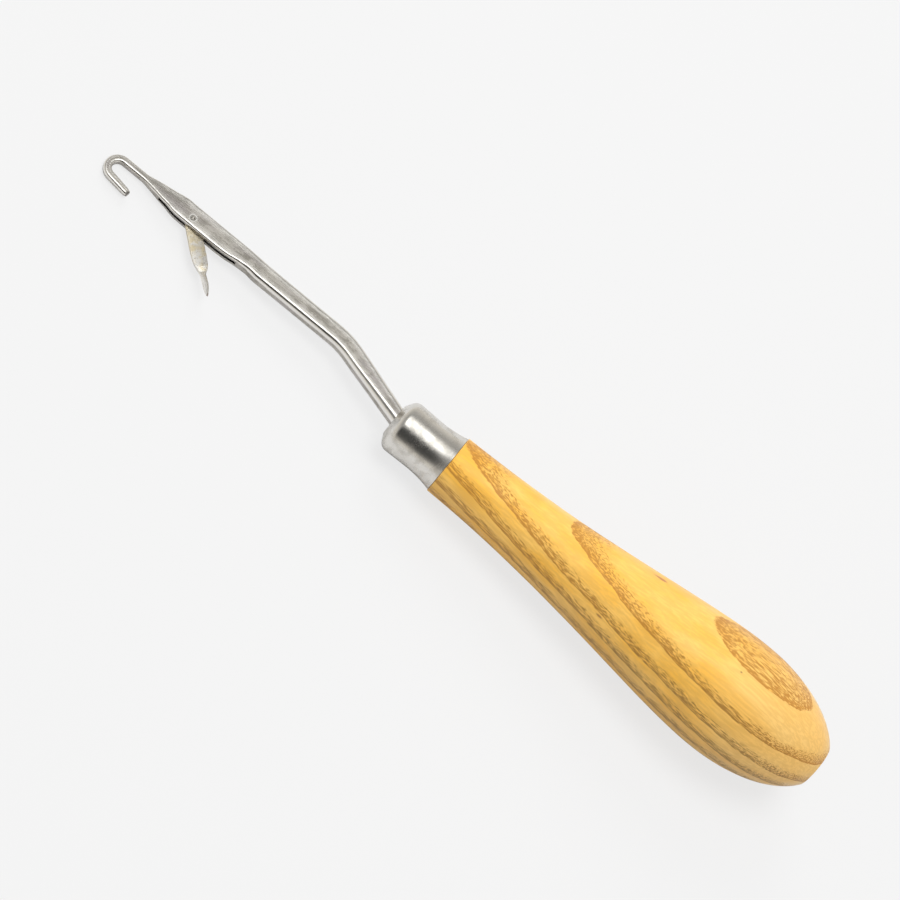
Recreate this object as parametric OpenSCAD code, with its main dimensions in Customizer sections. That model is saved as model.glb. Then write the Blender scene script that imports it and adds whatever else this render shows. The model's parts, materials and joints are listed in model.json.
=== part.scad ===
// Latch hook for pulling yarn through rug canvas: a turned handle, a ferrule and a cranked steel
// shank that ends in a hook with a swinging latch. Every piece is drawn along the handle's axis,
// with x = 0 where the wood meets the ferrule, +X to the hook, +Y to the side that the hook
// opens on and +Z along the rivet. lie() then lays the whole tool down as it rests on a table.

/* [Handle] */
// Length of wood from the ferrule to the flat end
handle_len = 83.6; // [76:0.1:105]
// Diameter of the wood where it meets the ferrule
neck_d = 11.7; // [11.4:0.1:14]
// Diameter of the swell that fills the palm
swell_d = 22.3; // [18:0.1:28]
// Distance from the ferrule to the middle of the swell
swell_at = 64.2; // [54:0.1:70]
// Diameter of the flat end
end_d = 8.3; // [5:0.1:12]
// How fast the radius grows where it leaves the ferrule, mm per mm
neck_slope = 0.007; // [0:0.001:0.06]
// How far the neck keeps its own line before it swells
neck_reach = 30.5; // [20:0.5:40]
// How far the swell's crown carries towards the neck
swell_reach = 14.5; // [8:0.5:26]
// Length of the turned-down nose inside the ferrule
nose_len = 9; // [6:0.1:9.1]
// Chamfer on the nose
nose_chamfer = 0.8; // [0.3:0.1:1.2]

/* [Ferrule] */
// Length of the ferrule
ferrule_len = 12.3; // [11.6:0.1:16]
// Diameter behind the shoulder
ferrule_d = 10.3; // [9.6:0.1:11.2]
// Smallest diameter, at the waist
waist_d = 10.1; // [9.4:0.1:10.8]
// Diameter of the flared rim against the wood
rim_d = 11.3; // [10.9:0.1:11.4]
// Length of the flare
flare_len = 5.2; // [3:0.1:6]
// Radius of the shoulder
shoulder_r = 1.7; // [1.2:0.1:2.2]
// Angle that the shoulder turns through before the flat-sided cone
shoulder_turn = 62; // [45:1:70]
// Distance from the front face back to the end of the shoulder
shoulder_len = 2.2; // [1.9:0.1:2.6]
// Wall of the drawn sheet
ferrule_wall = 0.5; // [0.3:0.05:0.8]
// Diameter of the hole that the shank comes out of
mouth_d = 5.4; // [5.3:0.1:6]

/* [Shank] */
// Diameter of the rod and its tang
rod_d = 3.4; // [2.8:0.1:3.6]
// Depth of the tang in the wood
tang_depth = 30; // [20:0.5:45]
// How much the tang bites into its bore, on each side
tang_bite = 0.04; // [0.02:0.01:0.08]
// Distance from the ferrule's rear to the elbow
elbow_at = 27.6; // [22:0.1:36]
// Sideways step between the handle's axis and the front of the shank
crank_step = 5.6; // [4.8:0.1:5.6]
// Angle of the crank
crank_angle = 17.6; // [17:0.1:24]
// Radius of the hidden bend inside the ferrule
bend_r = 5; // [3.5:0.1:5.5]
// Radius of the elbow
elbow_r = 16; // [6:0.5:24]
// Height of the pressed rod, in the plane of the bends
rod_h = 3.8; // [3.2:0.1:4.2]
// Thickness of the pressed rod
rod_t = 2.8; // [2.4:0.1:3.2]
// Height of the round on the pressed rod's edges
rod_round_h = 0.75; // [0.4:0.05:1.2]
// Depth of the same round across the thickness
rod_round_t = 1.1; // [0.5:0.05:1.15]

/* [Cheeks] */
// Distance from the ferrule's rear to the rivet
pivot_at = 62.1; // [56:0.1:72]
// Height of the rivet above the middle of the rod, towards the opening
pivot_rise = 0.6; // [0.4:0.05:0.8]
// Cheek height behind the rod's middle line
cheek_back = 1.95; // [1.8:0.05:2.3]
// Cheek height in front of the rod's middle line
cheek_front = 2.12; // [1.9:0.05:2.4]
// Thickness over both cheeks
cheek_t = 2.4; // [2.1:0.1:2.8]
// Round on the cheeks' edges
cheek_round = 0.38; // [0.2:0.02:0.6]
// Rear end of the cheeks, behind the rivet
cheek_rear = 8.3; // [7:0.1:10]
// Front end of the cheeks, ahead of the rivet
cheek_fore = 2.6; // [1.8:0.1:3.4]
// Width of the slot
slot_w = 0.8; // [0.7:0.05:1]
// Steel left at the bottom of the slot
slot_web = 0.85; // [0.5:0.05:1]
// Radius of the slitting saw
saw_r = 9.2; // [8:0.1:10]
// Rear end of the slot's flat bottom, behind the rivet
slot_rear = 4.1; // [3.5:0.1:5]
// Front end of the slot's flat bottom, ahead of the rivet
slot_fore = 0.75; // [0.5:0.05:1]
// Depth of the dip that the open latch's spoon lies over
dip = 0.25; // [0:0.05:0.4]
// Middle of the dip, behind the rivet
dip_at = 12.8; // [12:0.1:14]
// Distance from the dip's middle to its rear end
dip_len = 2.4; // [1.5:0.1:3.5]

/* [Hook] */
// Height and thickness of the hook's wire
wire_t = 1.5; // [1.2:0.05:1.7]
// Round on the wire's edges
wire_round = 0.45; // [0.3:0.05:0.55]
// Distance from the rivet to the end of the neck's taper
neck_at = 11.4; // [10:0.1:12.5]
// Distance from the rivet to the start of the hook's bend
hook_at = 15.6; // [14:0.1:16]
// Radius of the hook's bend, to the middle of the wire
hook_r = 2; // [1.8:0.05:2.2]
// How far the bill stands open from the shank
bill_flare = 8.7; // [6:0.1:11]
// Length of the bill after the bend
bill_len = 4.6; // [3.8:0.1:5]
// Wire size at the bill's tip
bill_tip_t = 1.3; // [1.1:0.05:1.5]

/* [Latch] */
// Length from the rivet to the spoon's tip
latch_len = 14.6; // [14.2:0.1:15]
// Angle between the latch and the shank behind it, as it lies
latch_angle = 41.5; // [15:0.5:120]
// Thickness of the blade
blade_t = 0.6; // [0.45:0.05:0.7]
// Width of the blade
blade_w = 2.7; // [2.3:0.05:2.8]
// Distance from the rivet to where the blade narrows
blade_len = 7.6; // [6.5:0.1:8.5]
// Radius of the eye around the rivet
eye_r = 1.2; // [1:0.05:1.3]
// Width of the spoon, across the blade
spoon_w = 2.1; // [1.8:0.05:2.3]
// Length of the spoon
spoon_len = 4.6; // [4:0.1:5.2]
// Outer radius of the spoon's cup
spoon_r = 1.3; // [1.2:0.05:1.6]
// Wall of the spoon
spoon_wall = 0.4; // [0.3:0.05:0.5]

/* [Rivet] */
// Diameter of the rivet
rivet_d = 0.9; // [0.8:0.05:1.1]
// Height of its peened ends over the cheeks
rivet_crown = 0.06; // [0.03:0.01:0.1]
// Gap between the rivet and the latch's eye, on each side
rivet_gap = 0.05; // [0.03:0.01:0.08]

/* [Hidden] */
$fn = 96;
OVER = 1;

// Handle: the neck's curve, the swell and the end cut square across it
CURVE_STEPS = 36;
END_STEPS = 18;
BORE_SPARE = 0.5;
end_axis = (handle_len - swell_at) / sqrt(1 - pow(end_d / swell_d, 2));
end_sweep = acos(end_d / swell_d);

function neck_point(t) = [
    3 * (1 - t) * (1 - t) * t * neck_reach + 3 * (1 - t) * t * t * (swell_at - swell_reach)
        + t * t * t * swell_at,
    pow(1 - t, 3) * neck_d / 2 + 3 * (1 - t) * (1 - t) * t * (neck_d / 2 + neck_slope * neck_reach)
        + (3 * (1 - t) * t * t + t * t * t) * swell_d / 2];

// Outline of the turned wood: distance behind the ferrule, then radius
handle_outline = concat(
    [for (k = [0:CURVE_STEPS]) neck_point(k / CURVE_STEPS)],
    [for (k = [1:END_STEPS]) let (a = end_sweep * k / END_STEPS)
        [swell_at + end_axis * sin(a), swell_d / 2 * cos(a)]]);

// Ferrule: outer radius along the barrel, then the shoulder, the cone and the mouth
BARREL_STEPS = 12;
SHOULDER_STEPS = 8;
shoulder_x = ferrule_len - shoulder_len;

function barrel_r(x) = x < flare_len
    ? waist_d / 2 + (rim_d - waist_d) / 2 * pow(1 - x / flare_len, 2)
    : waist_d / 2 + (ferrule_d - waist_d) / 2 * (1 - cos(180 * (x - flare_len) / (shoulder_x - flare_len))) / 2;
function shoulder(r) = [for (k = [0:SHOULDER_STEPS]) let (a = shoulder_turn * k / SHOULDER_STEPS)
    [ferrule_d / 2 - shoulder_r + r * cos(a), shoulder_x + r * sin(a)]];
function cone_end(r, x) = let (edge = [ferrule_d / 2 - shoulder_r + r * cos(shoulder_turn),
    shoulder_x + r * sin(shoulder_turn)]) [edge.x - (x - edge.y) * tan(shoulder_turn), x];
barrel_x = [for (k = [0:BARREL_STEPS - 1]) shoulder_x * k / BARREL_STEPS];

// Shank: places along the middle line of the rod
BEND_STEPS = 4;
ELBOW_STEPS = 8;
HOOK_STEPS = 18;
CORNER_STEPS = 4;
TANG_FLAT = 0.12;
TANG_CHAMFER = 0.5;
BILL_CHAMFER = 0.15;
bend_at = elbow_at - crank_step / tan(crank_angle);
rod_y = -crank_step;
pivot = [pivot_at, rod_y + pivot_rise];
slot_floor = rod_y - cheek_back + slot_web;
hook_turn = 180 - bill_flare;

// One cross-section: back, front, thickness, and its round's height and depth
round_rod = [rod_d / 2, rod_d / 2, rod_d, rod_d / 2 - TANG_FLAT, rod_d / 2 - TANG_FLAT];
tang_tip = [for (k = [0:4]) round_rod[k] - (k == 2 ? 2 : 1) * TANG_CHAMFER];
pressed_rod = [rod_h / 2, rod_h / 2, rod_t, rod_round_h, rod_round_t];
dipped_rod = [rod_h / 2, rod_h / 2 - dip, (rod_t + cheek_t) / 2, rod_round_h, (rod_round_t + cheek_round) / 2];
cheeks = [cheek_back, cheek_front, cheek_t, cheek_round, cheek_round];
wire = [wire_t / 2, wire_t / 2, wire_t, wire_round, wire_round];
bill_wire = [bill_tip_t / 2, bill_tip_t / 2, bill_tip_t, wire_round, wire_round];
bill_end = [for (k = [0:4]) bill_wire[k] - (k == 2 ? 2 : 1) * BILL_CHAMFER];

// A bend from point p and direction a0 through the angle turn, as [x, y, direction, section]
function bend(p, a0, turn, r, steps, section) = [for (k = [0:steps])
    let (a = a0 + turn * k / steps, s = sign(turn))
    [p.x + r * s * (sin(a) - sin(a0)), p.y + r * s * (cos(a0) - cos(a)), a, section]];
function last(list) = list[len(list) - 1];
function onward(from, d, section) =
    [from.x + d * cos(from[2]), from.y + d * sin(from[2]), from[2], section];

bend_run = bend_r * tan(crank_angle / 2);
elbow_run = elbow_r * tan(crank_angle / 2);
hidden_bend = bend([bend_at - bend_run, 0], 0, -crank_angle, bend_r, BEND_STEPS, round_rod);
elbow = bend([elbow_at - elbow_run * cos(crank_angle), rod_y + elbow_run * sin(crank_angle)],
    -crank_angle, crank_angle, elbow_r, ELBOW_STEPS, pressed_rod);
hook_bend = bend([pivot_at + hook_at, rod_y], 0, hook_turn, hook_r, HOOK_STEPS, wire);
shank_line = concat(
    [[-tang_depth, 0, 0, tang_tip], [-tang_depth + TANG_CHAMFER, 0, 0, round_rod]],
    hidden_bend,
    elbow,
    [[pivot_at - dip_at - dip_len, rod_y, 0, pressed_rod],
     [pivot_at - dip_at, rod_y, 0, dipped_rod],
     [pivot_at - cheek_rear, rod_y, 0, cheeks],
     [pivot_at + cheek_fore, rod_y, 0, cheeks],
     [pivot_at + neck_at, rod_y, 0, wire]],
    hook_bend,
    [onward(last(hook_bend), bill_len - BILL_CHAMFER, bill_wire),
     onward(last(hook_bend), bill_len, bill_end)]);

// Points of a cross-section, as [towards the opening, along the rivet]
function outline(s) = [for (q = [0:3]) for (k = [0:CORNER_STEPS]) let (a = 90 * (q + k / CORNER_STEPS))
    [(q == 0 || q == 3 ? s[1] - s[3] : s[3] - s[0]) + s[3] * cos(a),
     (q < 2 ? s[2] / 2 - s[4] : s[4] - s[2] / 2) + s[4] * sin(a)]];

// How the tool lies: the angle of a line under both the handle's swell and the hook's bend
hook_foot = pivot_at + hook_at + hook_r + wire_t / 2 - wire_round;
hook_end = pivot_at + hook_at + hook_r + wire_t / 2;
tilt = max([for (p = handle_outline) atan2(p.y - wire_t / 2, hook_foot + p.x)]);
lie_z = hook_foot * sin(tilt) + wire_t / 2 * cos(tilt);
lie_x = (handle_len * cos(tilt) + end_d / 2 * sin(tilt)
    - hook_end * cos(tilt) - (wire_t / 2 - wire_round) * sin(tilt)) / 2;

module lie() {
    translate([lie_x, 0, lie_z]) rotate([0, tilt, 0]) children();
}

// Turns an outline of [radius, x] about the handle's axis
module turned(points) {
    rotate([0, 90, 0]) rotate_extrude() polygon(points);
}

// A rod through the rings of a line, with flat ends
module swept(line) {
    rings = [for (s = line) [for (p = outline(s[3])) [s.x - p.x * sin(s[2]), s.y + p.x * cos(s[2]), p.y]]];
    n = len(rings[0]);
    m = len(rings);
    polyhedron(
        points = [for (ring = rings) each ring],
        faces = concat(
            [[for (j = [0:n - 1]) j]],
            [[for (j = [0:n - 1]) m * n - 1 - j]],
            [for (i = [0:m - 2]) for (j = [0:n - 1]) let (k = (j + 1) % n)
                each [[i * n + j, (i + 1) * n + j, (i + 1) * n + k], [i * n + j, (i + 1) * n + k, i * n + k]]]));
}

module at_pivot() {
    translate([pivot.x, pivot.y, 0]) children();
}

module handle() {
    color("#e6b45c") lie() difference() {
        turned(concat(
            [for (k = [len(handle_outline) - 1:-1:0]) [handle_outline[k].y, -handle_outline[k].x]],
            [for (x = barrel_x) if (x < nose_len - nose_chamfer) [barrel_r(x) - ferrule_wall, x]],
            [[barrel_r(nose_len) - ferrule_wall, nose_len - nose_chamfer],
             [barrel_r(nose_len) - ferrule_wall - nose_chamfer, nose_len],
             [0, nose_len], [0, -handle_len]]));
        translate([-tang_depth - BORE_SPARE, 0, 0]) rotate([0, 90, 0])
            cylinder(d = rod_d - 2 * tang_bite, h = tang_depth + BORE_SPARE + nose_len + OVER);
    }
}

module ferrule() {
    inner_shoulder = shoulder(shoulder_r - ferrule_wall);
    color("#b9b7b0") lie() turned(concat(
        [for (x = barrel_x) [barrel_r(x), x]],
        shoulder(shoulder_r),
        [cone_end(shoulder_r, ferrule_len), [mouth_d / 2, ferrule_len], [mouth_d / 2, ferrule_len - ferrule_wall],
         cone_end(shoulder_r - ferrule_wall, ferrule_len - ferrule_wall)],
        [for (k = [SHOULDER_STEPS:-1:0]) inner_shoulder[k]],
        [for (k = [BARREL_STEPS - 1:-1:0]) [barrel_r(barrel_x[k]) - ferrule_wall, barrel_x[k]]]));
}

module shank() {
    color("#a8a6a1") lie() difference() {
        swept(shank_line);
        for (x = [-slot_rear, slot_fore])
            translate([pivot_at + x, slot_floor + saw_r, 0]) cylinder(r = saw_r, h = slot_w, center = true);
        translate([pivot_at - slot_rear, slot_floor, -slot_w / 2])
            cube([slot_rear + slot_fore, saw_r, slot_w]);
        at_pivot() cylinder(d = rivet_d, h = cheek_t + OVER, center = true);
    }
}

// The blade's outline: the eye, the parallel blade, and the shoulders that run into the spoon
module blade() {
    root = latch_len - spoon_len + spoon_wall;
    linear_extrude(blade_t, center = true) difference() {
        union() {
            circle(eye_r);
            polygon([[0, -eye_r], [eye_r, -blade_w / 2], [blade_len, -blade_w / 2], [root, -spoon_wall],
                [root, spoon_wall], [blade_len, blade_w / 2], [eye_r, blade_w / 2], [0, eye_r]]);
        }
        circle(d = rivet_d + 2 * rivet_gap);
    }
}

// The spoon: a piece of tube cut to a leaf, with its hollow facing the hook as it closes
module spoon() {
    middle = latch_len - spoon_len / 2;
    leaf_r = (spoon_len * spoon_len / spoon_w + spoon_w) / 4;
    intersection() {
        translate([middle, -spoon_r / 2, 0]) rotate([0, 90, 0]) difference() {
            cylinder(r = spoon_r, h = spoon_len, center = true);
            cylinder(r = spoon_r - spoon_wall, h = spoon_len + OVER, center = true);
        }
        translate([middle, 0, 0]) rotate([-90, 0, 0]) linear_extrude(spoon_r) intersection_for(s = [-1, 1])
            translate([0, s * (leaf_r - spoon_w / 2)]) circle(leaf_r);
    }
}

module latch() {
    color("#b3aa94") lie() at_pivot() rotate([0, 0, 180 - latch_angle]) {
        blade();
        spoon();
    }
}

module latch_rivet() {
    color("#c9c6bd") lie() at_pivot() rotate_extrude() polygon([
        [0, -cheek_t / 2 - rivet_crown], [rivet_d / 4, -cheek_t / 2 - rivet_crown], [rivet_d / 2, -cheek_t / 2],
        [rivet_d / 2, cheek_t / 2], [rivet_d / 4, cheek_t / 2 + rivet_crown], [0, cheek_t / 2 + rivet_crown]]);
}

handle();
ferrule();
shank();
latch();
latch_rivet();
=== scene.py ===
# Latch hook for rug making: a turned ash handle, a nickel-plated ferrule and a cranked steel shank
# that ends in a hook with a swinging latch. The sections run from the handle to the latch's rivet.
import json
import math

import bpy
import numpy as np
from mathutils import Matrix, Vector


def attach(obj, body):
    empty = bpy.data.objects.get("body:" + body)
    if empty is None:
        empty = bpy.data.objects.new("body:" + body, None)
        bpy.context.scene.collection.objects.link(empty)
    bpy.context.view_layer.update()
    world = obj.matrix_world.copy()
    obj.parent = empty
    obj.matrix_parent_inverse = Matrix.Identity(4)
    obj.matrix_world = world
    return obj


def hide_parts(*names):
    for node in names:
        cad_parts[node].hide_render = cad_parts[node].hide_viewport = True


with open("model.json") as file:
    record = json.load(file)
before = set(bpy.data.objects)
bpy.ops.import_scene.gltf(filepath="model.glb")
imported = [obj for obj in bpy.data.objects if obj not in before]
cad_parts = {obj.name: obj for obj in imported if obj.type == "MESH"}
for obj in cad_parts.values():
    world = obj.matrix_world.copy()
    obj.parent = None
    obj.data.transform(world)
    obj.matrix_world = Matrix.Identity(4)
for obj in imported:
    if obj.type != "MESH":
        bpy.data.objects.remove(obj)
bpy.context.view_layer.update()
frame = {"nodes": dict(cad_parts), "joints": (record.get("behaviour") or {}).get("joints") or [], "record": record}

# Handle
# One turning of straight-grained ash: a slim neck, a swell for the palm and a small flat end.
# It is sanded round by hand, so it isn't quite true, and finished with a clear varnish.
# The nose inside the ferrule and the blind bore for the tang are cut in the same turning.
MM = 0.001
neck_d = 11.7
swell_d = 22.3
swell_at = 64.2
end_d = 8.3
neck_slope = 0.007
neck_reach = 30.5
swell_reach = 14.5
nose_len = 9.0
nose_chamfer = 0.8
ferrule_len = 12.3
ferrule_wall = 0.5
tang_depth = 30.0
rod_d = 3.4
end_round = 0.45
lip_round = 0.2


def mount(name):
    return next(m for m in frame["record"]["mounts"] if m["name"] == name)


def tool_frame():
    """The tool's own axes in mm, as it lies: X from the wood's joint to the hook, Z along the rivet."""
    ahead = -Vector(mount("end_face")["axis"])
    rivet_way = -Vector(frame["joints"][0]["axis"])
    joint = min(ahead.dot(v.co) for v in frame["nodes"]["ferrule"].data.vertices)
    end = Vector(mount("end_face")["pos_m"])
    start = end + ahead * (joint - ahead.dot(end))
    turn = Matrix((ahead, rivet_way.cross(ahead), rivet_way)).transposed().to_4x4()
    return Matrix.Translation(start) @ turn @ Matrix.Scale(MM, 4)


lie = tool_frame()
to_tool = lie.inverted()
handle_len = -(to_tool @ Vector(mount("end_face")["pos_m"])).x


class Wire:
    """One output of a node, so that sums in a node tree read as plain sums."""

    def __init__(self, tree, socket=None):
        self.tree = tree
        self.socket = socket

    def node(self, kind, settings=None, inputs=None, out=0):
        """Adds a node: its settings first, then the values or wires of its inputs."""
        made = self.tree.nodes.new(kind)
        for name, value in (settings or {}).items():
            if name == "stops":
                ramp = made.color_ramp
                while len(ramp.elements) < len(value):
                    ramp.elements.new(1.0)
                for element, (place, colour) in zip(ramp.elements, value):
                    element.position = place
                    element.color = colour if len(colour) == 4 else (*colour, 1.0)
            else:
                setattr(made, name, value)
        for name, value in (inputs or {}).items():
            if isinstance(value, Wire):
                self.tree.links.new(value.socket, made.inputs[name])
            else:
                made.inputs[name].default_value = value
        return Wire(self.tree, made.outputs[out])

    def maths(self, operation, *values):
        return self.node("ShaderNodeMath", {"operation": operation}, dict(enumerate(values)))

    def __add__(self, other):
        return self.maths("ADD", self, other)

    def __radd__(self, other):
        return self.maths("ADD", other, self)

    def __sub__(self, other):
        return self.maths("SUBTRACT", self, other)

    def __rsub__(self, other):
        return self.maths("SUBTRACT", other, self)

    def __mul__(self, other):
        return self.maths("MULTIPLY", self, other)

    def __rmul__(self, other):
        return self.maths("MULTIPLY", other, self)

    def __truediv__(self, other):
        return self.maths("DIVIDE", self, other)

    def floor(self):
        return self.maths("FLOOR", self)

    def at_least(self, other):
        return self.maths("MAXIMUM", self, other)

    def fade(self, start, end, low=0.0, high=1.0):
        """Runs smoothly from low at start to high at end, and stays there."""
        if start > end:
            start, end, low, high = end, start, high, low
        return self.node("ShaderNodeMapRange", {"interpolation_type": "SMOOTHSTEP"},
                         {"Value": self, "From Min": start, "From Max": end, "To Min": low, "To Max": high})

    def split(self):
        made = self.tree.nodes.new("ShaderNodeSeparateXYZ")
        self.tree.links.new(self.socket, made.inputs[0])
        return [Wire(self.tree, output) for output in made.outputs]

    def vector(self, x, y, z):
        return self.node("ShaderNodeCombineXYZ", inputs={0: x, 1: y, 2: z})

    def dot(self, direction):
        return self.node("ShaderNodeVectorMath", {"operation": "DOT_PRODUCT"},
                         {0: self, 1: direction}, out="Value")

    def stretched(self, scale):
        return self.node("ShaderNodeVectorMath", {"operation": "MULTIPLY"}, {0: self, 1: scale})

    def noise(self, scale, detail=2.0, roughness=0.5):
        """Grain of the given fineness, per mm, about 0.5."""
        return self.node("ShaderNodeTexNoise", {"normalize": True},
                         {"Vector": self, "Scale": scale, "Detail": detail, "Roughness": roughness})

    def mix(self, first, second):
        """Colour that is first where this is 0 and second where it is 1."""
        return self.node("ShaderNodeMix", {"data_type": "RGBA"}, {0: self, 6: first, 7: second}, out=2)


def finish(name, **constants):
    """A new material, with what is the same all over set on its shader. Returns it and its tree."""
    made = bpy.data.materials.new(name)
    made.use_nodes = True
    shader = made.node_tree.nodes["Principled BSDF"]
    for socket, value in constants.items():
        shader.inputs[socket.replace("_", " ")].default_value = value
    return made, Wire(made.node_tree)


def feed(tree, bump=None, bump_depth=0.0, **wires):
    """Joins what varies over the surface to the shader."""
    shader = tree.tree.nodes["Principled BSDF"]
    for socket, wire in wires.items():
        tree.tree.links.new(wire.socket, shader.inputs[socket.replace("_", " ")])
    if bump:
        normal = tree.node("ShaderNodeBump", inputs={"Height": bump, "Distance": bump_depth * MM})
        tree.tree.links.new(normal.socket, shader.inputs["Normal"])


def tool_place(tree):
    """Where a point is in the tool's own axes, in mm."""
    place = tree.node("ShaderNodeTexCoord", out="Object")
    return tree.node("ShaderNodeMapping", inputs={
        "Vector": place, "Location": to_tool.translation, "Rotation": to_tool.to_euler(),
        "Scale": to_tool.to_scale()})


def rgb(red, green, blue):
    return (red, green, blue, 1.0)


def rounded(outline, corners, steps=5):
    """An outline with an arc of the given radius in place of each named corner."""
    made = []
    for index, point in enumerate(outline):
        if index not in corners:
            made.append(tuple(point))
            continue
        here = Vector(point)
        back = (Vector(outline[index - 1]) - here).normalized()
        ahead = (Vector(outline[index + 1]) - here).normalized()
        half = back.angle(ahead) / 2
        reach = corners[index] / math.tan(half)
        middle = here + (back + ahead).normalized() * corners[index] / math.sin(half)
        first = here + back * reach - middle
        last = here + ahead * reach - middle
        for step in range(steps + 1):
            made.append(tuple(middle + first.slerp(last, step / steps) * corners[index]))
    return made


def divided(outline, spacing):
    """The same outline with more points, so that no step is longer than spacing."""
    made = [outline[0]]
    for here, there in zip(outline, outline[1:]):
        steps = max(1, math.ceil(math.dist(here, there) / spacing))
        for step in range(1, steps + 1):
            share = step / steps
            made.append(tuple(a + (b - a) * share for a, b in zip(here, there)))
    return made


def turning_tree():
    """Geometry nodes that turn an outline of (distance, radius) about X, as a lathe does."""
    tree = bpy.data.node_groups.new("turning", "GeometryNodeTree")
    face = tree.interface
    face.new_socket("Outline", in_out="INPUT", socket_type="NodeSocketGeometry")
    segments = face.new_socket("Segments", in_out="INPUT", socket_type="NodeSocketInt")
    unevenness = face.new_socket("Unevenness", in_out="INPUT", socket_type="NodeSocketFloat")
    wave = face.new_socket("Waves per mm", in_out="INPUT", socket_type="NodeSocketFloat")
    finish_in = face.new_socket("Finish", in_out="INPUT", socket_type="NodeSocketMaterial")
    face.new_socket("Turning", in_out="OUTPUT", socket_type="NodeSocketGeometry")
    inputs = tree.nodes.new("NodeGroupInput")
    given = {output.name: Wire(tree, output) for output in inputs.outputs}
    tool = Wire(tree)
    rows = given["Segments"] + 1
    points = tool.node("GeometryNodeAttributeDomainSize", {"component": "MESH"},
                       {"Geometry": given["Outline"]}, out="Point Count")
    grid = tool.node("GeometryNodeMeshGrid", inputs={"Vertices X": points, "Vertices Y": rows})
    index = tool.node("GeometryNodeInputIndex")
    column = (index / rows).floor()
    turn = (index - column * rows) * (2 * math.pi) / given["Segments"]
    place = tool.node("GeometryNodeSampleIndex", {"data_type": "FLOAT_VECTOR"}, {
        "Geometry": given["Outline"], "Value": tool.node("GeometryNodeInputPosition"), "Index": column})
    x, radius, _ = place.split()
    round_place = tool.vector(x, radius * turn.maths("COSINE", turn), radius * turn.maths("SINE", turn))
    turned = tool.node("GeometryNodeSetPosition", inputs={"Geometry": grid, "Position": round_place})
    merged = tool.node("GeometryNodeMergeByDistance", inputs={"Geometry": turned, "Distance": 1e-4})
    swell = tool.node("GeometryNodeInputPosition").noise(given["Waves per mm"], 1.0)
    push = tool.node("ShaderNodeVectorMath", {"operation": "SCALE"}, {
        0: tool.node("GeometryNodeInputNormal"), "Scale": (swell - 0.5) * given["Unevenness"]})
    uneven = tool.node("GeometryNodeSetPosition", inputs={"Geometry": merged, "Offset": push})
    real = tool.node("GeometryNodeRealizeInstances", inputs={"Geometry": uneven})
    done = tool.node("GeometryNodeSetMaterial", inputs={"Geometry": real, "Material": given["Finish"]})
    output = tree.nodes.new("NodeGroupOutput")
    tree.links.new(done.socket, output.inputs["Turning"])
    names = (segments.identifier, unevenness.identifier, wave.identifier, finish_in.identifier)
    return tree, dict(zip(("segments", "unevenness", "waves", "finish"), names))


turning, turning_inputs = turning_tree()


def plain_mesh(obj):
    """Puts what the modifiers make in place of the object's mesh, and drops them."""
    result = bpy.data.meshes.new_from_object(obj.evaluated_get(bpy.context.evaluated_depsgraph_get()))
    obj.modifiers.clear()
    obj.data = result
    result.name = obj.name


def new_piece(name, points, edges=(), faces=()):
    mesh = bpy.data.meshes.new(name)
    mesh.from_pydata(points, edges, faces)
    piece = bpy.data.objects.new(name, mesh)
    bpy.context.scene.collection.objects.link(piece)
    return piece


def turned_piece(name, outline, surface, segments, unevenness=0.0, waves=0.1):
    """A piece turned about X from its outline, as a plain mesh in mm."""
    points = [(x, radius, 0.0) for x, radius in outline]
    piece = new_piece(name, points, [(k, k + 1) for k in range(len(points) - 1)])
    modifier = piece.modifiers.new("turning", "NODES")
    modifier.node_group = turning
    settings = {"segments": segments, "unevenness": unevenness, "waves": waves, "finish": surface}
    for key, value in settings.items():
        modifier[turning_inputs[key]] = value
    plain_mesh(piece)
    return piece


def settle(piece, body, node, placed=lie, sharp=40.0):
    """Lays a piece where its CAD node is, shades it, hides the CAD node and parents the piece to its body's empty.
    """
    piece.data.transform(placed)
    piece.data.shade_smooth()
    piece.data.set_sharp_from_angle(angle=math.radians(sharp))
    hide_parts(node)
    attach(piece, body)


def neck_point(t):
    """The neck's curve, from the ferrule at t = 0 to the swell at t = 1."""
    joint, crown = neck_d / 2, swell_d / 2
    near = 3 * (1 - t) ** 2 * t
    far = 3 * (1 - t) * t * t
    behind = near * neck_reach + far * (swell_at - swell_reach) + t ** 3 * swell_at
    radius = (1 - t) ** 3 * joint + near * (joint + neck_slope * neck_reach) + (far + t ** 3) * crown
    return -behind, radius


# The ferrule's outside, which the nose follows from within: a flare against the wood and a waist
ferrule_d = 10.3
waist_d = 10.1
rim_d = 11.3
flare_len = 5.2
shoulder_len = 2.2
shoulder_x = ferrule_len - shoulder_len


def barrel_radius(x):
    if x < flare_len:
        return waist_d / 2 + (rim_d - waist_d) / 2 * (1 - x / flare_len) ** 2
    share = (x - flare_len) / (shoulder_x - flare_len)
    return waist_d / 2 + (ferrule_d - waist_d) / 4 * (1 - math.cos(math.pi * share))


def handle_outline():
    end_axis = (handle_len - swell_at) / math.sqrt(1 - (end_d / swell_d) ** 2)
    end_sweep = math.acos(end_d / swell_d)
    rounds = [(-swell_at - end_axis * math.sin(a), swell_d / 2 * math.cos(a))
              for a in np.linspace(end_sweep, 0, 70)]
    neck = [neck_point(t) for t in np.linspace(1, 0, 160)[1:]]
    nose = [(x, barrel_radius(x) - ferrule_wall) for x in np.linspace(0, nose_len - nose_chamfer, 12)]
    tip = barrel_radius(nose_len) - ferrule_wall - nose_chamfer
    bore = rod_d / 2
    wood = [(-handle_len, 0.0), *rounds, *neck, *nose, (nose_len, tip), (nose_len, bore),
            (-tang_depth, bore), (-tang_depth, 0.0)]
    return divided(rounded(wood, {1: end_round, len(rounds) + len(neck): lip_round}), 0.5)


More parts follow.
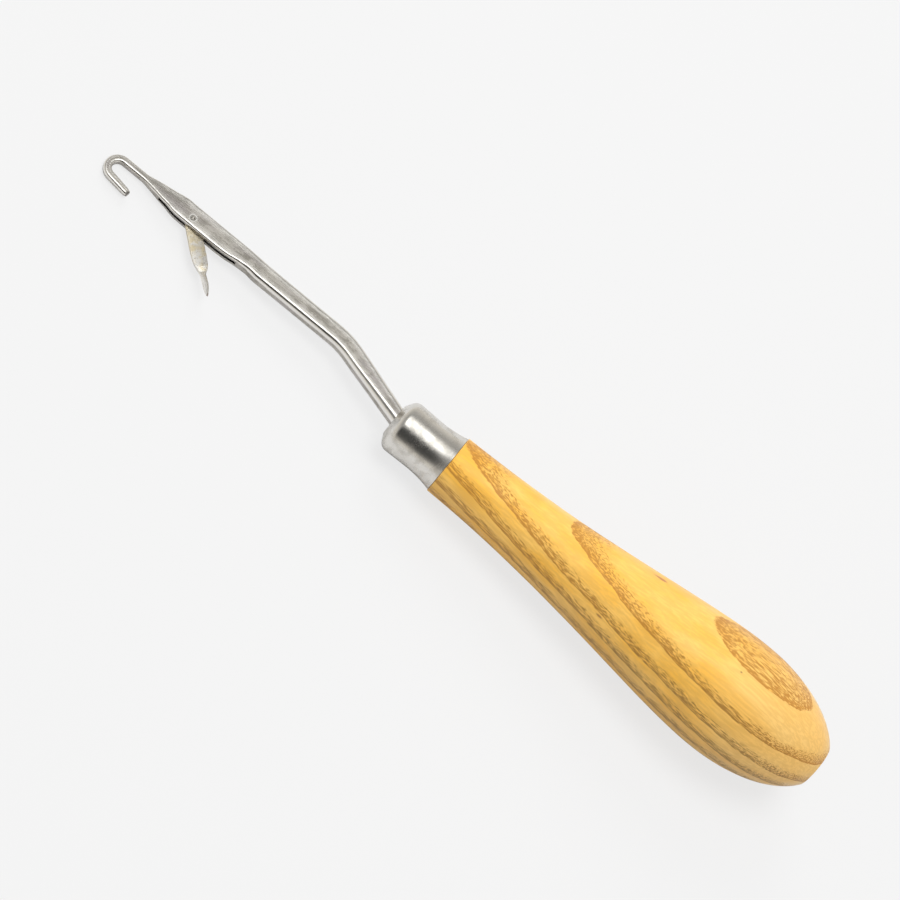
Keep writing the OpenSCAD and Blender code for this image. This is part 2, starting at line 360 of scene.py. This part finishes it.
# Ash shows broad growth rings. Going out from the heart, each starts with a row of open pores and
# ends in smooth honey-coloured wood. ring_starts are the rings' first rows, in mm along bark_way.
bark_angle = -30.0
grain_slope = 0.153
grain_curve = 0.00084
ring_starts = (-7.0, -3.8, -0.65, 2.47, 5.71, 9.93, 16.1, 21.0)
ring_span = ring_starts[-1] - ring_starts[0]


def ash_wood():
    wood, tree = finish("varnished_ash", Roughness=0.42, Coat_Weight=0.35, Coat_Roughness=0.3,
                        Coat_IOR=1.5, Specular_IOR_Level=0.3)
    place = tool_place(tree)
    x, y, _ = place.split()
    bark = math.radians(bark_angle)
    outward = place.dot((0.0, math.sin(bark), math.cos(bark)))
    sideways = place.dot((0.0, math.cos(bark), -math.sin(bark)))
    slow = place.stretched((0.25, 1.0, 1.0)).noise(0.22, 2.0)
    fine = place.stretched((0.3, 1.0, 1.0)).noise(1.1, 2.0)
    growth = outward - x * grain_slope - x * x * grain_curve + (slow - 0.5) * 1.1 + (fine - 0.5) * 0.28
    stops = []
    for start, end in zip(ring_starts, ring_starts[1:]):
        width = (end - start) / ring_span
        low = (start - ring_starts[0]) / ring_span
        stops += [(low, (0, 0, 0)), (low + width * 0.985, (width, width, width))]
    age = tree.node("ShaderNodeValToRGB", {"stops": stops},
                    {"Fac": (growth - ring_starts[0]) / ring_span}) * ring_span
    first_row = age.fade(0.0, 0.45, 1.0, 0.0)
    porous = age.fade(0.05, 2.3, 1.0, 0.0)
    # Pores are short dark dashes along the grain, in the sheets of one season's growth
    sheet = tree.vector(x * 0.45, growth * 8.0, sideways * 5.5)
    dash = sheet.noise(1.0, 1.0, 0.5)
    pores = (dash - porous * 0.16 - first_row * 0.06).fade(0.345, 0.415, 1.0, 0.0) * porous.fade(0.0, 0.3)
    thread = tree.vector(x * 0.12, growth * 2.4, sideways * 3.4).noise(1.0, 3.0, 0.6)
    patches = place.stretched((0.35, 1.0, 1.0)).noise(0.24, 3.0)
    honey = patches.fade(0.35, 0.65).mix(rgb(0.88, 0.47, 0.062), rgb(0.90, 0.54, 0.125))
    # The varnish has worn off towards the end, where the palm rubs it
    honey = x.fade(-80.0, -50.0, 0.55, 0.0).mix(honey, rgb(0.80, 0.53, 0.21))
    early = (porous * 0.2 + first_row * 0.45).mix(honey, rgb(0.72, 0.33, 0.04))
    threaded = thread.fade(0.62, 0.42, 0.0, 0.35).mix(early, rgb(0.60, 0.33, 0.075))
    # Towards the +y side, away from the lamps, grime darkens the pores and the wood is darkened in patches as
    # painted shade.
    grime_and_shade_side = (y - 2.0).fade(0.0, 9.0, 0.0, 1.0)
    pore_colour = grime_and_shade_side.mix(rgb(0.40, 0.16, 0.02), rgb(0.17, 0.085, 0.018))
    colour = (pores * 0.76).mix(threaded, pore_colour)
    # Painted shade: darker brown patches on the +y side, away from the lamps.
    shaded_patches = (grime_and_shade_side * place.noise(0.5, 3.0)).fade(0.2, 0.8, 0.0, 0.25)
    colour = shaded_patches.mix(colour, rgb(0.52, 0.30, 0.06))
    # A short mineral streak and a few knocks, where the tool has them
    for at, reach, tint, amount in (
            ((-41.5, -5.6, 7.0), (1.9, 0.5, 0.5), rgb(0.36, 0.09, 0.035), 0.75),
            ((-36.6, 6.8, 5.0), (0.9, 0.22, 0.22), rgb(0.22, 0.07, 0.03), 0.7),
            ((-61.6, 0.8, 11.1), (0.28, 0.2, 0.4), rgb(0.20, 0.11, 0.04), 0.7)):
        gap = place.node("ShaderNodeVectorMath", {"operation": "SUBTRACT"}, {0: place, 1: at})
        gap = gap.stretched([1 / r for r in reach])
        far = tree.node("ShaderNodeVectorMath", {"operation": "LENGTH"}, {0: gap}, out="Value")
        colour = ((far + (fine - 0.5) * 1.2).fade(0.5, 1.15, amount, 0.0)).mix(colour, tint)
    sheen = place.stretched((0.2, 1.0, 1.0)).noise(0.9, 3.0)
    feed(tree, Base_Color=colour, Roughness=sheen.fade(0.3, 0.7, 0.34, 0.5) + pores * 0.15,
         bump=(1 - pores) * 0.6 + thread * 0.25 + sheen * 0.3, bump_depth=0.05)
    return wood


handle = turned_piece("ash_handle", handle_outline(), ash_wood(), 220, unevenness=0.12, waves=0.09)
settle(handle, "tool", "handle")

# Ferrule
# A cup drawn from sheet metal and nickel plated, pressed over the nose until its flared rim meets
# the wood. The drawing leaves a soft shoulder and a flat ring round the hole for the shank.
shoulder_r = 1.7
shoulder_turn = math.radians(62)
mouth_d = 5.4
rim_gap = 0.06


def shoulder_point(radius, angle):
    return (shoulder_x + radius * math.sin(angle), ferrule_d / 2 - shoulder_r + radius * math.cos(angle))


def cone_end(radius, x):
    edge = shoulder_point(radius, shoulder_turn)
    return x, edge[1] - (x - edge[0]) * math.tan(shoulder_turn)


def ferrule_outline():
    turns = np.linspace(0, shoulder_turn, 14)
    barrel = np.linspace(rim_gap, shoulder_x, 40)[:-1]
    inside = shoulder_r - ferrule_wall
    outer = [(x, barrel_radius(x)) for x in barrel]
    outer += [shoulder_point(shoulder_r, a) for a in turns]
    front = [cone_end(shoulder_r, ferrule_len), (ferrule_len, mouth_d / 2),
             (ferrule_len - ferrule_wall, mouth_d / 2), cone_end(inside, ferrule_len - ferrule_wall)]
    inner = [shoulder_point(inside, a) for a in turns[::-1]]
    inner += [(x, barrel_radius(x) - ferrule_wall) for x in barrel[::-1]]
    ring = [*outer, *front, *inner]
    ring.append(ring[0])
    last = len(outer)
    return divided(rounded(ring, {last: 0.35, last + 1: 0.2, last + 2: 0.1, len(ring) - 2: 0.1}), 0.3)


def nickel_plate():
    plate, tree = finish("nickel_plate", Metallic=1.0)
    place = tool_place(tree)
    lathe_lines = place.stretched((9.0, 0.12, 0.12)).noise(1.0, 3.0, 0.6)
    bloom = place.noise(0.5, 3.0)
    specks = place.noise(4.5, 2.0, 0.6)
    tarnish = bloom.fade(0.42, 0.7)
    colour = tarnish.mix(rgb(0.74, 0.72, 0.68), rgb(0.60, 0.575, 0.53))
    colour = specks.fade(0.62, 0.72, 0.0, 0.35).mix(colour, rgb(0.42, 0.40, 0.36))
    rough = 0.24 + tarnish * 0.1 + (lathe_lines - 0.5) * 0.08
    feed(tree, Base_Color=colour, Roughness=rough,
         bump=lathe_lines * 0.5 + specks * 0.6 + bloom * 0.4, bump_depth=0.012)
    return plate


ferrule = turned_piece("drawn_ferrule", ferrule_outline(), nickel_plate(), 160, unevenness=0.05, waves=0.3)
settle(ferrule, "tool", "ferrule")

# Shank
# One steel rod. It is bent twice for the crank, pressed to flats at its sides, slit for the latch,
# drawn down to a square wire in front of the cheeks and curled into the hook.
pivot = to_tool @ Vector(frame["joints"][0]["pos_m"])
elbow_at = 27.6
crank_step = 5.6
crank_angle = math.radians(17.6)
bend_r = 5.0
elbow_r = 16.0
hook_at = 15.6
hook_r = 2.0
bill_len = 4.6
bill_flare = math.radians(8.7)
wire_t = 1.5
bill_tip_t = 1.3
slot_w = 0.8
slot_web = 0.85
cheek_back = 1.95
saw_r = 9.2
slot_rear = 4.1
slot_fore = 0.75
slot_lip = 0.07
ring_step = 0.3


def shank_line():
    """Rings along the rod's middle line: (x, y, heading, length past the rivet)."""
    bend_at = elbow_at - crank_step / math.tan(crank_angle)
    bend_run = bend_r * math.tan(crank_angle / 2)
    elbow_run = elbow_r * math.tan(crank_angle / 2)
    crank_len = crank_step / math.sin(crank_angle) - bend_run - elbow_run
    runs = [(bend_at - bend_run + tang_depth, 0.0), (bend_r * crank_angle, -crank_angle), (crank_len, 0.0),
            (elbow_r * crank_angle, crank_angle), (pivot.x - elbow_at - elbow_run, 0.0), (hook_at, 0.0),
            (hook_r * (math.pi - bill_flare), math.pi - bill_flare), (bill_len, 0.0)]
    x, y, heading = -tang_depth, 0.0, 0.0
    gone = -sum(length for length, _ in runs[:5])
    line = [(x, y, heading, gone)]
    for length, turn in runs:
        steps = max(1, round(length / (ring_step if abs(turn) < 1 else ring_step / 2)))
        for _ in range(steps):
            heading += turn / steps / 2
            x += length / steps * math.cos(heading)
            y += length / steps * math.sin(heading)
            heading += turn / steps / 2
            gone += length / steps
            line.append((x, y, heading, gone))
    return line


# Cross-sections by length past the rivet: back, front, thickness, and the corners' height and depth
hook_end = hook_at + hook_r * (math.pi - bill_flare)
sections = (
    (-95.0, 1.7, 1.7, 3.4, 1.5, 1.6),
    (-52.0, 1.7, 1.7, 3.3, 1.15, 1.5),
    (-46.0, 1.75, 1.75, 3.1, 1.0, 1.35),
    (-37.0, 1.9, 1.9, 2.85, 0.78, 1.15),
    (-22.0, 1.9, 1.9, 2.8, 0.75, 1.1),
    (-15.3, 1.9, 1.9, 2.8, 0.7, 1.0),
    (-12.8, 1.97, 1.66, 2.7, 0.6, 0.8),
    (-11.1, 1.97, 1.71, 2.6, 0.5, 0.6),
    (-8.3, 1.94, 2.04, 2.42, 0.38, 0.4),
    (-6.0, 1.93, 2.14, 2.4, 0.38, 0.38),
    (1.0, 1.95, 2.14, 2.4, 0.38, 0.38),
    (2.4, 2.0, 2.12, 2.4, 0.38, 0.38),
    (3.7, 1.86, 2.0, 2.3, 0.38, 0.38),
    (5.1, 1.62, 1.7, 2.17, 0.4, 0.4),
    (6.7, 1.42, 1.47, 2.0, 0.42, 0.42),
    (8.9, 1.12, 1.08, 1.75, 0.45, 0.45),
    (11.4, wire_t / 2, wire_t / 2, wire_t, 0.45, 0.45),
    (hook_end, wire_t / 2, wire_t / 2, wire_t, 0.45, 0.45),
    (hook_end + bill_len - 0.45, bill_tip_t / 2, bill_tip_t / 2, bill_tip_t, 0.42, 0.42),
    (hook_end + bill_len, bill_tip_t / 2 - 0.22, bill_tip_t / 2 - 0.2, bill_tip_t - 0.45, 0.25, 0.25),
)


def eased(at, rows):
    """Values at one place between the rows, on curves that never swing past them."""
    places = np.array([row[0] for row in rows])
    values = np.array([row[1:] for row in rows])
    gaps = np.diff(places)[:, None]
    slopes = np.diff(values, axis=0) / gaps
    tangents = np.zeros_like(values)
    same_way = slopes[1:] * slopes[:-1] > 0
    total = slopes[1:] + slopes[:-1]
    tangents[1:-1][same_way] = (2 * slopes[1:] * slopes[:-1])[same_way] / total[same_way]
    k = int(np.clip(np.searchsorted(places, at) - 1, 0, len(places) - 2))
    t = min(max((at - places[k]) / gaps[k, 0], 0.0), 1.0)
    rise = tangents[k] * gaps[k] * (t - 2 * t * t + t ** 3) + tangents[k + 1] * gaps[k] * (t ** 3 - t * t)
    return values[k] * (1 - 3 * t * t + 2 * t ** 3) + values[k + 1] * (3 * t * t - 2 * t ** 3) + rise


def slot_floor(gone):
    """How far from the middle line the saw has cut at one place."""
    past = max(gone - slot_fore, -slot_rear - gone, 0.0)
    if past >= saw_r:
        return math.inf
    return slot_web - cheek_back + saw_r - math.sqrt(saw_r ** 2 - past ** 2)


def rod_section(gone):
    """Half of the outline as (towards the opening, along the rivet, share of painted shadow in the slot, share of
    painted highlight on the edges).
    """
    back, front, thick, round_h, round_t = eased(gone, sections)
    half = thick / 2

    def face(z):
        past = max(z - (half - round_t), 0.0) / round_t
        return front - round_h * (1 - math.sqrt(max(1 - past * past, 0.0)))

    wall = min(slot_w / 2, half * 0.45)
    floor = min(slot_floor(gone), face(wall))
    depth = face(wall) - floor
    lip = min(slot_lip, depth)
    cut = min(depth / 0.3, 1.0)
    made = [(min(face(z), floor) if depth > 0 else face(z), z, cut, 0.0) for z in (0.0, wall / 2, wall)]
    made += [(floor + (depth - lip) * share, wall, cut * (1 - share * 0.3), 0.0) for share in (0.4, 0.8)]
    for step in range(4):
        a = step / 3 * math.pi / 2
        z = wall + lip * (1 - math.cos(a))
        made.append((face(z) - lip * (1 - math.sin(a)), z, cut * 0.5 * (1 - step / 3), 0.6 * cut))
    start = wall + lip
    for step in range(1, 11):
        z = start + (half - start) * math.sin(step / 10 * math.pi / 2)
        made.append((face(z), z, 0.0, 1.0 if z > half - round_t * 0.8 else 0.0))
    for share in (0.06, 0.35, 0.65, 0.94):
        made.append((front - round_h + (round_h - back - front + round_h) * share, half, 0.0,
                     0.7 if share in (0.06, 0.94) else 0.0))
    for step in range(9):
        a = step / 8 * math.pi / 2
        behind = round_h - back - round_h * math.sin(a)
        made.append((behind, half - round_t + round_t * math.cos(a), 0.0, 1.0))
    made.append((-back, 0.0, 0.0, 0.0))
    return made


def lofted(name, rings, facts, lengths):
    """A closed piece through rings of points, with each point's facts and its place along and around."""
    count = len(rings[0])
    points = [point for ring in rings for point in ring]
    faces = [tuple(range(count))[::-1]]
    for row in range(len(rings) - 1):
        for k in range(count):
            after = (k + 1) % count
            here, there = row * count, (row + 1) * count
            faces.append((here + k, here + after, there + after, there + k))
    faces.append(tuple(range((len(rings) - 1) * count, len(rings) * count)))
    piece = new_piece(name, points, (), faces)
    mesh = piece.data
    for fact, values in facts.items():
        layer = mesh.attributes.new(fact, "FLOAT", "POINT")
        layer.data.foreach_set("value", np.array(values, np.float32).ravel())
    along = mesh.attributes.new("along", "FLOAT", "POINT")
    along.data.foreach_set("value", np.repeat(np.array(lengths, np.float32), count))
    return piece


def shank_piece():
    rings, grime, wear, lengths = [], [], [], []
    for x, y, heading, gone in shank_line():
        half = rod_section(gone)
        outline = half + [(p, -z, slot_shade_share, edge_light) for p, z, slot_shade_share, edge_light in half[-2:0:-1]]
        across = Vector((-math.sin(heading), math.cos(heading), 0.0))
        rings.append([Vector((x, y, 0.0)) + across * p + Vector((0.0, 0.0, z)) for p, z, _, _ in outline])
        # Each point carries its share of painted shadow in the slot and of painted highlight on the edges.
        grime.append([slot_shade_share for _, _, slot_shade_share, _ in outline])
        wear.append([edge_light for _, _, _, edge_light in outline])
        lengths.append(gone)
    return lofted("forged_shank", rings, {"grime": grime, "wear": wear}, lengths)


def fact(tree, name):
    return tree.node("ShaderNodeAttribute", {"attribute_name": name}, out="Fac")


def shank_steel():
    steel, tree = finish("polished_steel", Metallic=1.0)
    place = tool_place(tree)
    _, y, z = place.split()
    along = fact(tree, "along")
    grime = fact(tree, "grime")
    wear = fact(tree, "wear")
    brushed = tree.vector(along * 0.35, y * 7.0, z * 7.0).noise(1.0, 3.0, 0.6)
    stains = place.stretched((0.7, 1.0, 1.0)).noise(0.55, 4.0, 0.6)
    clouds = place.stretched((0.45, 1.0, 1.0)).noise(0.3, 2.0)
    specks = place.noise(3.2, 3.0, 0.6)
    grey = stains.fade(0.36, 0.62).mix(rgb(0.34, 0.32, 0.285), rgb(0.51, 0.485, 0.445))
    mauve = clouds.fade(0.5, 0.66, 0.0, 0.55).mix(grey, rgb(0.50, 0.465, 0.465))
    spotted = specks.fade(0.63, 0.72, 0.0, 0.4).mix(mauve, rgb(0.34, 0.31, 0.28))
    # Painted highlight: the rounded corners and the lips of the slot are coloured near white, as a bright edge
    # line.
    highlighted = (wear * 0.8).mix(spotted, rgb(0.92, 0.90, 0.86))
    # Round the rivet the cheek is burnished, and dirt has settled in the joint
    rivet_at = (pivot.x, pivot.y, 0.0)
    off = place.node("ShaderNodeVectorMath", {"operation": "SUBTRACT"}, {0: place, 1: rivet_at})
    off = off.stretched((1.0, 1.0, 0.0))
    from_rivet = tree.node("ShaderNodeVectorMath", {"operation": "LENGTH"}, {0: off}, out="Value")
    burnished = from_rivet.fade(0.6, 0.95, 0.75, 0.0).mix(highlighted, rgb(0.82, 0.81, 0.78))
    joint = from_rivet.fade(0.47, 0.6, 0.9, 0.0)
    cut_end = along.fade(hook_end + bill_len - 0.3, hook_end + bill_len - 0.05, 0.0, 0.8)
    dirty = joint.at_least(cut_end).mix(burnished, rgb(0.06, 0.045, 0.03))
    # Painted shadow: inside the slot the steel is coloured nearly black, as shade in the recess.
    colour = grime.fade(0.0, 1.0, 0.0, 0.93).mix(dirty, rgb(0.02, 0.017, 0.014))
    rough = 0.27 + (stains - 0.5) * 0.3 + (brushed - 0.5) * 0.16 - wear * 0.08 + grime * 0.3
    feed(tree, Base_Color=colour, Roughness=rough,
         bump=brushed * 0.7 + specks * 0.25 + stains * 0.5, bump_depth=0.022)
    return steel


def bored(piece, at, diameter, reach):
    """Drills straight through along the rivet."""
    drill = new_piece("drill", *disc_prism(at, diameter / 2, reach))
    cut = piece.modifiers.new("bore", "BOOLEAN")
    cut.operation = "DIFFERENCE"
    cut.solver = "EXACT"
    cut.object = drill
    plain_mesh(piece)
    bpy.data.objects.remove(drill)


def disc_prism(at, radius, reach, sides=48):
    ring = [(at.x + radius * math.cos(a), at.y + radius * math.sin(a))
            for a in np.linspace(0, 2 * math.pi, sides, endpoint=False)]
    points = [(*p, -reach) for p in ring] + [(*p, reach) for p in ring]
    faces = [tuple(range(sides))[::-1], tuple(range(sides, 2 * sides))]
    faces += [(k, (k + 1) % sides, sides + (k + 1) % sides, sides + k) for k in range(sides)]
    return points, (), faces


rivet_d = 0.9
shank = shank_piece()
bored(shank, pivot, rivet_d, 3.0)
shank.data.materials.append(shank_steel())
settle(shank, "tool", "shank")

# Latch
# A tongue stamped from sheet steel. Its eye turns on the rivet in the slot, its blade stands on
# edge, and its tip is swaged across the blade into a small spoon that closes over the hook's end.
latch_angle = math.radians(41.5)
rivet_gap = 0.05
latch_sections = (
    (-1.2, 0.05, 0.05, 0.3, 0.0, 0.06),
    (-1.1, 0.48, 0.48, 0.3, 0.0, 0.06),
    (-0.85, 0.85, 0.85, 0.3, 0.0, 0.06),
    (-0.4, 1.13, 1.13, 0.3, 0.0, 0.06),
    (0.0, 1.2, 1.2, 0.3, 0.0, 0.06),
    (1.2, 1.35, 1.35, 0.3, 0.0, 0.06),
    (4.8, 1.4, 1.33, 0.3, 0.0, 0.06),
    (7.2, 1.33, 1.36, 0.3, 0.0, 0.06),
    (8.6, 1.1, 1.28, 0.3, 0.0, 0.06),
    (9.7, 0.72, 0.96, 0.32, 0.0, 0.1),
    (10.1, 0.52, 0.76, 0.37, 0.06, 0.14),
    (10.6, 0.34, 0.58, 0.62, 0.2, 0.2),
    (11.4, 0.24, 0.6, 0.94, 0.36, 0.26),
    (12.3, 0.18, 0.66, 1.05, 0.4, 0.34),
    (13.3, 0.12, 0.56, 0.9, 0.34, 0.3),
    (14.1, 0.04, 0.38, 0.55, 0.16, 0.2),
    (14.45, -0.04, 0.24, 0.26, 0.02, 0.1),
    (14.6, -0.1, 0.16, 0.06, 0.0, 0.03),
)


def latch_section(gone):
    """Outline across the latch as (towards closing, along the rivet): flat, or dished on the closing side."""
    closing, behind, half, hollow, corner = eased(gone, latch_sections)
    corner = min(corner, half * 0.95, (closing + behind) * 0.45)
    made = []
    for step in range(13):
        z = half * math.sin((step / 12 * 2 - 1) * math.pi / 2)
        share = abs(z) / half
        edge = corner * 0.4 * (1 - math.sqrt(max(1 - share ** 8, 0.0)))
        made.append((closing - hollow * (1 - share * share) - edge, z))
    for step in range(13):
        z = half * math.sin((1 - step / 12 * 2) * math.pi / 2)
        share = abs(z) / half
        power = 8 if hollow < 0.02 else 2.4
        crown = min(corner + hollow, (closing + behind) * 0.8)
        made.append((-behind + crown * (1 - math.sqrt(max(1 - share ** power, 0.0))), z))
    return made


def latch_piece():
    rings, lengths = [], []
    out = Vector((math.cos(math.pi - latch_angle), math.sin(math.pi - latch_angle), 0.0))
    closing_way = Vector((out.y, -out.x, 0.0))
    for gone in np.concatenate([np.linspace(-1.2, 0, 13)[:-1], np.linspace(0, 14.6, 120)]):
        centre = Vector((pivot.x, pivot.y, 0.0)) + out * gone
        rings.append([centre + closing_way * p + Vector((0.0, 0.0, z)) for p, z in latch_section(gone)])
        lengths.append(gone)
    return lofted("stamped_latch", rings, {}, lengths)


def latch_steel():
    steel, tree = finish("dull_steel", Metallic=1.0)
    place = tool_place(tree)
    along = fact(tree, "along")
    stains = place.noise(0.9, 4.0, 0.6)
    grain = place.noise(4.0, 3.0, 0.6)
    yellow = (stains + (9.0 - along) * 0.025).fade(0.42, 0.7)
    colour = yellow.mix(rgb(0.88, 0.86, 0.82), rgb(0.78, 0.69, 0.50))
    colour = grain.fade(0.54, 0.7, 0.0, 0.6).mix(colour, rgb(0.30, 0.23, 0.14))
    colour = along.fade(14.0, 14.5, 0.0, 0.7).mix(colour, rgb(0.20, 0.10, 0.07))
    feed(tree, Base_Color=colour, Roughness=0.36 + (stains - 0.5) * 0.3,
         bump=stains * 0.7 + grain * 0.6, bump_depth=0.05)
    return steel


latch = latch_piece()
bored(latch, pivot, rivet_d + 2 * rivet_gap, 1.0)
latch.data.materials.append(latch_steel())
settle(latch, "latch", "latch")

# Latch rivet
# A short pin through both cheeks and the latch's eye. Each end is set with a punch, which leaves a
# small dish inside a raised ring.
cheek_t = 2.4
head_crown = 0.08
dish_r = 0.3
dish_depth = 0.22


def rivet_outline():
    half, edge = cheek_t / 2, rivet_d / 2
    end = [(half - dish_depth, 0.0), (half - dish_depth + 0.02, dish_r * 0.45), (half - 0.03, dish_r * 0.9),
           (half + head_crown, dish_r * 1.15), (half + head_crown, edge * 0.92), (half - 0.04, edge)]
    other = [(-x, radius) for x, radius in end]
    corners = {2: 0.05, 3: 0.06, 4: 0.04, 7: 0.04, 8: 0.06, 9: 0.05}
    return divided(rounded(other + end[::-1], corners), 0.1)


def rivet_steel():
    steel, tree = finish("peened_steel", Metallic=1.0)
    place = tool_place(tree)
    hammered = place.noise(3.0, 2.0)
    colour = hammered.fade(0.4, 0.7).mix(rgb(0.72, 0.70, 0.66), rgb(0.52, 0.50, 0.46))
    feed(tree, Base_Color=colour, Roughness=0.28 + hammered * 0.1, bump=hammered, bump_depth=0.02)
    return steel


rivet = turned_piece("set_rivet", rivet_outline(), rivet_steel(), 48)
on_pivot = Matrix.Translation(Vector((pivot.x, pivot.y, 0.0))) @ Matrix.Rotation(-math.pi / 2, 4, "Y")
settle(rivet, "tool", "latch_rivet", placed=lie @ on_pivot)

# Studio
# A pale table under two large soft lamps, seen from the photograph's viewpoint. The metal reflects
# a room of its own, with one bright side and one dark, because the lamps don't show in it.
view_lean = math.radians(28.12)
view_side = math.radians(0.79)
view_roll = math.radians(39.47)
view_from = 463.3
view_shift = (0.35, 2.50)
lens_mm = 105.5


def photograph_camera():
    turn = lie.to_3x3().normalized()
    towards = turn @ Vector((math.sin(view_side), math.sin(view_lean) * math.cos(view_side),
                             math.cos(view_lean) * math.cos(view_side)))
    handle_way = turn @ Vector((-1.0, 0.0, 0.0))
    handle_way = (handle_way - towards * handle_way.dot(towards)).normalized()
    square = towards.cross(handle_way)
    right = handle_way * math.cos(view_roll) + square * math.sin(view_roll)
    up = square * math.cos(view_roll) - handle_way * math.sin(view_roll)
    aim = lie.translation + (right * view_shift[0] + up * view_shift[1]) * MM
    lens = bpy.data.cameras.new("camera")
    lens.lens = lens_mm
    lens.sensor_width = 36.0
    lens.clip_start = 0.01
    camera = bpy.data.objects.new("camera", lens)
    bpy.context.scene.collection.objects.link(camera)
    camera.matrix_world = Matrix.Translation(aim + towards * view_from * MM) @ \
        Matrix((right, up, towards)).transposed().to_4x4()
    bpy.context.scene.camera = camera


def table():
    surface, tree = finish("pale_table", Base_Color=rgb(0.66, 0.66, 0.66), Roughness=0.9)
    shader = Wire(tree.tree, tree.tree.nodes["Principled BSDF"].outputs[0])
    glow = tree.node("ShaderNodeEmission", inputs={"Color": rgb(0.925, 0.925, 0.925), "Strength": 1.0})
    seen = tree.node("ShaderNodeLightPath", out="Is Camera Ray")
    lit = tree.node("ShaderNodeMixShader", inputs={0: seen * 0.8, 1: shader, 2: glow})
    under = tree.node("ShaderNodeNewGeometry", out="Backfacing")
    clear = tree.node("ShaderNodeBsdfTransparent")
    both = tree.node("ShaderNodeMixShader", inputs={0: under, 1: lit, 2: clear})
    tree.tree.links.new(both.socket, tree.tree.nodes["Material Output"].inputs["Surface"])
    half = 2.0
    floor = new_piece("table", [(-half, -half, 0), (half, -half, 0), (half, half, 0), (-half, half, 0)],
                      (), [(0, 1, 2, 3)])
    floor.data.materials.append(surface)


def soft_lamp(name, place, size, power):
    light = bpy.data.lights.new(name, "AREA")
    light.shape = "DISK"
    light.size = size
    light.energy = power
    lamp = bpy.data.objects.new(name, light)
    bpy.context.scene.collection.objects.link(lamp)
    lamp.location = place
    lamp.rotation_euler = Vector(place).to_track_quat("Z", "Y").to_euler()
    lamp.visible_camera = False
    lamp.visible_glossy = False


def room():
    """White seen by the camera, even light on the object, and a darker side for metal to reflect."""
    world = bpy.data.worlds.new("room")
    world.use_nodes = True
    bpy.context.scene.world = world
    tree = Wire(world.node_tree)
    way = tree.node("ShaderNodeTexCoord", out="Generated")
    height = way.split()[2]
    dark_way = Vector((0.0, math.sin(math.radians(48)), math.cos(math.radians(48))))
    near_dark = way.dot(dark_way)
    dark = near_dark.fade(math.cos(math.radians(36)), math.cos(math.radians(16)))
    upward = height.fade(-0.1, 0.9)
    studio = upward.mix(rgb(0.86, 0.82, 0.75), rgb(0.36, 0.355, 0.345))
    light_way = Vector((0.1, math.sin(math.radians(-6)), math.cos(math.radians(-6)))).normalized()
    bright = way.dot(light_way).fade(math.cos(math.radians(26)), math.cos(math.radians(10)))
    studio = bright.mix(studio, rgb(2.3, 2.3, 2.25))
    studio = (dark * 0.93).mix(studio, rgb(0.02, 0.02, 0.02))
    light = tree.node("ShaderNodeLightPath", out="Is Glossy Ray")
    camera = tree.node("ShaderNodeLightPath", out="Is Camera Ray")
    seen = light.mix(rgb(0.5, 0.5, 0.5), studio)
    seen = camera.mix(seen, rgb(0.915, 0.915, 0.92))
    tree.tree.links.new(seen.socket, tree.tree.nodes["Background"].inputs["Color"])


photograph_camera()
table()
room()
soft_lamp("ceiling_lamp", (-0.02, -0.06, 0.75), 0.42, 3.9)
soft_lamp("window_lamp", (0.35, -0.7, 0.55), 0.5, 3.4)
bpy.context.scene.view_settings.view_transform = "Standard"
